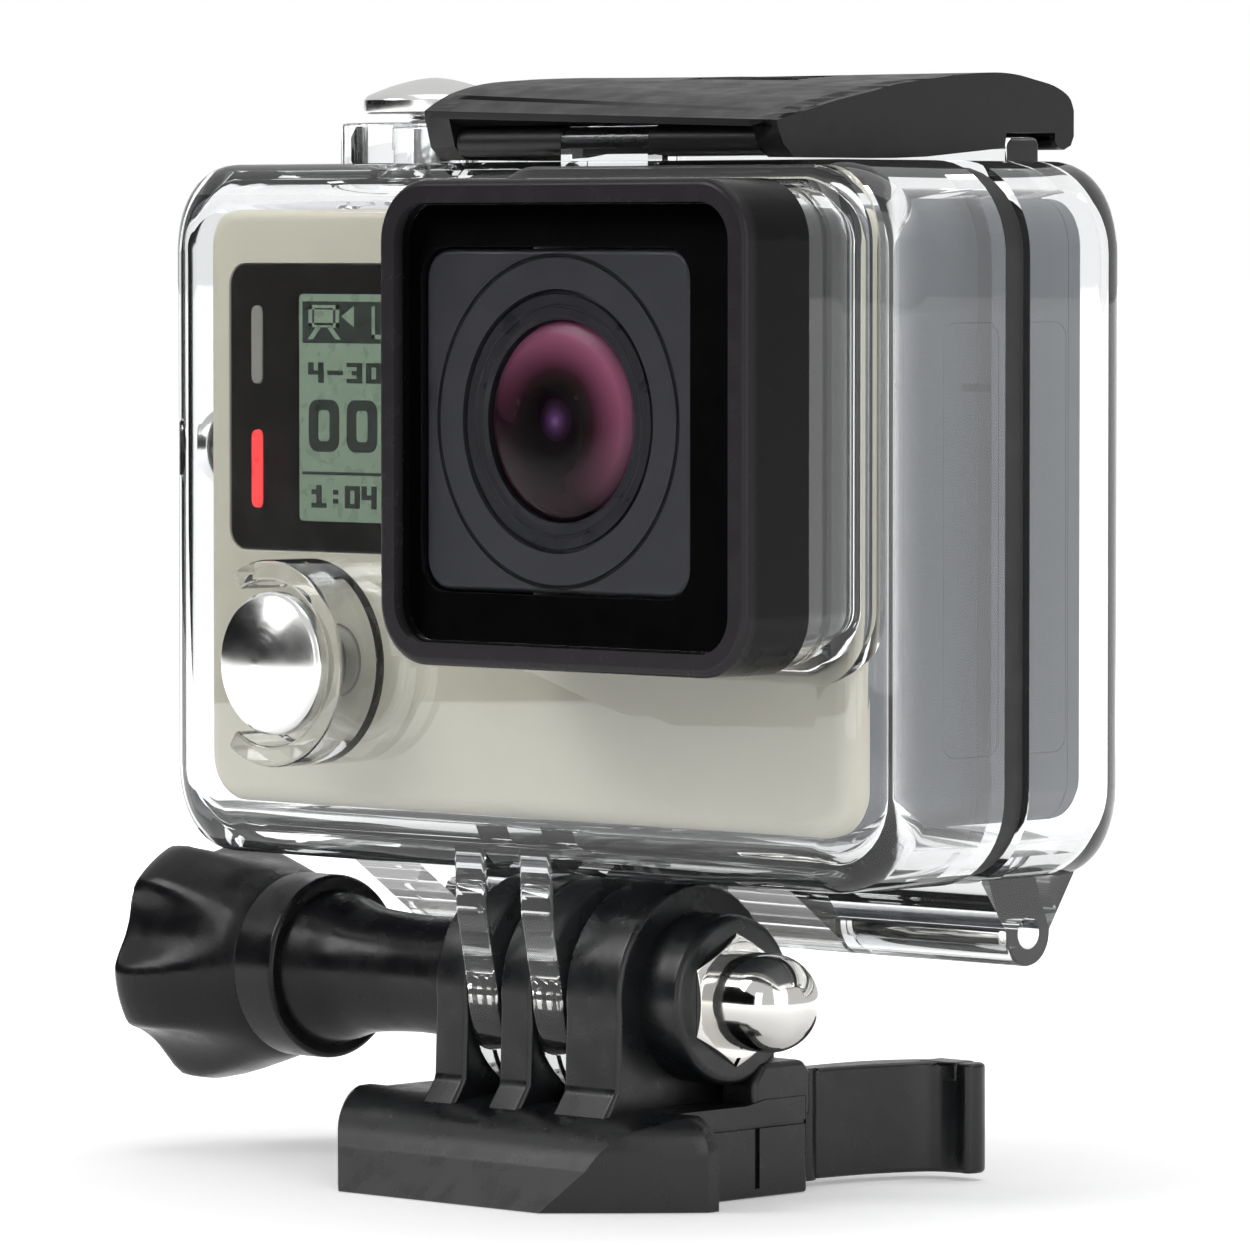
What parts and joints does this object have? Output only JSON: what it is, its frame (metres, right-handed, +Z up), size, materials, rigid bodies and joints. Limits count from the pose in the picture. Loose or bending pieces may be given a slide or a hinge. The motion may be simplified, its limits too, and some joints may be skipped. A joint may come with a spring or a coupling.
{
  "type": "action camera",
  "caption": "Action camera in a clear waterproof housing with a top latch, mushroom push-buttons, square lens port, thumb-screw tilt joint and quick-release buckle.",
  "frame": {"origin": "on the buckle's flat bottom, straight below the tilt axis, in the middle tilt finger's plane", "axes": "+X to the right seen from the front, along the tilt axis towards the nut; +Y towards the back door; +Z up. The lens looks along -Y."},
  "size_m": [0.072, 0.0402, 0.0738],
  "materials": {
    "black_buckle_plastic": "satin",
    "black_knob_plastic": "satin",
    "black_latch_plastic": "satin",
    "stainless_steel": "polished",
    "blackened_steel": "satin",
    "spring_steel": "satin",
    "button_steel": "turned",
    "clear_polycarbonate": "clear, polished",
    "window_glass": "clear, flat",
    "black_frame_plastic": "satin",
    "seal_rubber": "matte",
    "champagne_cover": "satin",
    "grey_body_plastic": "soft touch",
    "button_plastic": "satin",
    "red_button_plastic": "satin",
    "panel_black": "glossy",
    "lcd_green": "satin",
    "led_red": "diffuse",
    "led_grey": "diffuse",
    "lens_bezel_grey": "anodised",
    "lens_barrel_black": "matte",
    "coated_glass": "coated",
    "inner_glass": "coated",
    "circuit_board": "satin",
    "sensor_silicon": "glossy",
    "heat_sink_aluminium": "bare",
    "battery_wrap": "satin",
    "card_plastic": "matte"
  },
  "bodies": {
    "buckle": {"buckle_base": "black_buckle_plastic", "acorn_nut": "stainless_steel"},
    "buckle_arm_left": {"buckle_arm_left": "black_buckle_plastic"},
    "buckle_arm_right": {"buckle_arm_right": "black_buckle_plastic"},
    "thumb_screw": {"thumb_knob": "black_knob_plastic", "thumb_bolt": "stainless_steel"},
    "housing": {"housing_front_shell": "clear_polycarbonate", "lens_port_frame": "black_frame_plastic", "lens_window": "window_glass", "lens_window_seal": "seal_rubber", "hinge_pin": "stainless_steel", "latch_hinge_pin": "blackened_steel", "button_seals": "seal_rubber", "power_button_spring": "spring_steel", "shutter_button_spring": "spring_steel", "side_button_spring": "spring_steel", "camera_front_cover": "champagne_cover", "camera_body_shell": "grey_body_plastic", "camera_back_cover": "grey_body_plastic", "rear_screen": "panel_black", "status_panel": "panel_black", "status_lcd": "lcd_green", "led_red": "led_red", "led_grey": "led_grey", "lens_bezel": "lens_bezel_grey", "lens_ring": "lens_bezel_grey", "lens_barrel": "lens_barrel_black", "lens_front_element": "coated_glass", "lens_inner_elements": "inner_glass", "lens_iris": "lens_barrel_black", "image_sensor": "sensor_silicon", "sensor_board": "circuit_board", "main_board": "circuit_board", "heat_sink": "heat_sink_aluminium", "battery": "battery_wrap", "battery_door": "grey_body_plastic", "side_door": "grey_body_plastic", "memory_card": "card_plastic", "port_sockets": "heat_sink_aluminium", "speaker": "card_plastic", "microphone": "card_plastic", "camera_screws": "spring_steel", "door_gasket": "seal_rubber"},
    "back_door": {"back_door": "clear_polycarbonate"},
    "latch_arm": {"latch_arm": "black_latch_plastic", "latch_cover_pin": "blackened_steel"},
    "latch_cover": {"latch_cover": "black_latch_plastic", "latch_lock_spring": "spring_steel"},
    "latch_lock": {"latch_lock": "black_latch_plastic"},
    "power_button": {"power_button_cap": "button_steel"},
    "shutter_button": {"shutter_button_cap": "button_steel"},
    "side_button": {"side_button_cap": "button_steel"},
    "camera_power_button": {"camera_power_button": "button_plastic"},
    "camera_shutter_button": {"camera_shutter_button": "red_button_plastic"},
    "camera_side_button": {"camera_side_button": "button_plastic"}
  },
  "joints": [
    {"name": "housing_tilt", "type": "hinge", "parent": "buckle", "child": "housing", "pos_m": [0, 0, 0.0131], "axis": [1, 0, 0], "range_deg": [-30, 60]},
    {"name": "thumb_screw_turn", "type": "hinge", "parent": "buckle", "child": "thumb_screw", "pos_m": [0, 0, 0.0131], "axis": [1, 0, 0], "continuous": true},
    {"name": "door_open", "type": "hinge", "parent": "housing", "child": "back_door", "pos_m": [0, 0.0105, 0.0178], "axis": [-1, 0, 0], "range_deg": [0, 90]},
    {"name": "latch_arm_swing", "type": "hinge", "parent": "housing", "child": "latch_arm", "pos_m": [0.00885, -0.0072, 0.0693], "axis": [1, 0, 0], "range_deg": [0, 106]},
    {"name": "latch_cover_swing", "type": "hinge", "parent": "latch_arm", "child": "latch_cover", "pos_m": [0.00885, 0.004, 0.0699], "axis": [1, 0, 0], "range_deg": [-14, 0]},
    {"name": "latch_lock_slide", "type": "slide", "parent": "latch_cover", "child": "latch_lock", "axis": [0, 1, 0], "range_m": [0, 0.002], "stiffness_N_per_m": 250, "springref_m": -0.0005, "deforming": ["latch_lock_spring"]},
    {"name": "power_button_press", "type": "slide", "parent": "housing", "child": "power_button", "axis": [0, 1, 0], "range_m": [0, 0.0008], "stiffness_N_per_m": 1500, "springref_m": -0.0004, "deforming": ["power_button_spring"]},
    {"name": "shutter_button_press", "type": "slide", "parent": "housing", "child": "shutter_button", "axis": [0, 0, -1], "range_m": [0, 0.0008], "stiffness_N_per_m": 1500, "springref_m": -0.0004, "deforming": ["shutter_button_spring"]},
    {"name": "side_button_press", "type": "slide", "parent": "housing", "child": "side_button", "axis": [1, 0, 0], "range_m": [0, 0.0008], "stiffness_N_per_m": 1500, "springref_m": -0.0004, "deforming": ["side_button_spring"]},
    {"name": "camera_power_button_press", "type": "slide", "parent": "housing", "child": "camera_power_button", "axis": [0, 1, 0], "range_m": [0, 0.0008]},
    {"name": "camera_shutter_button_press", "type": "slide", "parent": "housing", "child": "camera_shutter_button", "axis": [0, 0, -1], "range_m": [0, 0.0008]},
    {"name": "camera_side_button_press", "type": "slide", "parent": "housing", "child": "camera_side_button", "axis": [1, 0, 0], "range_m": [0, 0.0008]},
    {"name": "buckle_left_arm_flex", "type": "hinge", "parent": "buckle", "child": "buckle_arm_left", "pos_m": [-0.0104, 0.0087, 0.004], "axis": [0, 0, -1], "range_deg": [0, 6], "stiffness_Nm_per_rad": 1},
    {"name": "buckle_right_arm_flex", "type": "hinge", "parent": "buckle", "child": "buckle_arm_right", "pos_m": [0.0104, 0.0087, 0.004], "axis": [0, 0, 1], "range_deg": [0, 6], "stiffness_Nm_per_rad": 1}
  ],
  "couplings": [
    {"joint": "latch_arm_swing", "follows": "door_open", "ratio": 1.17},
    {"joint": "latch_cover_swing", "follows": "door_open", "ratio": -0.15},
    {"joint": "camera_power_button_press", "follows": "power_button_press", "ratio": 1},
    {"joint": "camera_shutter_button_press", "follows": "shutter_button_press", "ratio": 1},
    {"joint": "camera_side_button_press", "follows": "side_button_press", "ratio": 1}
  ]
}
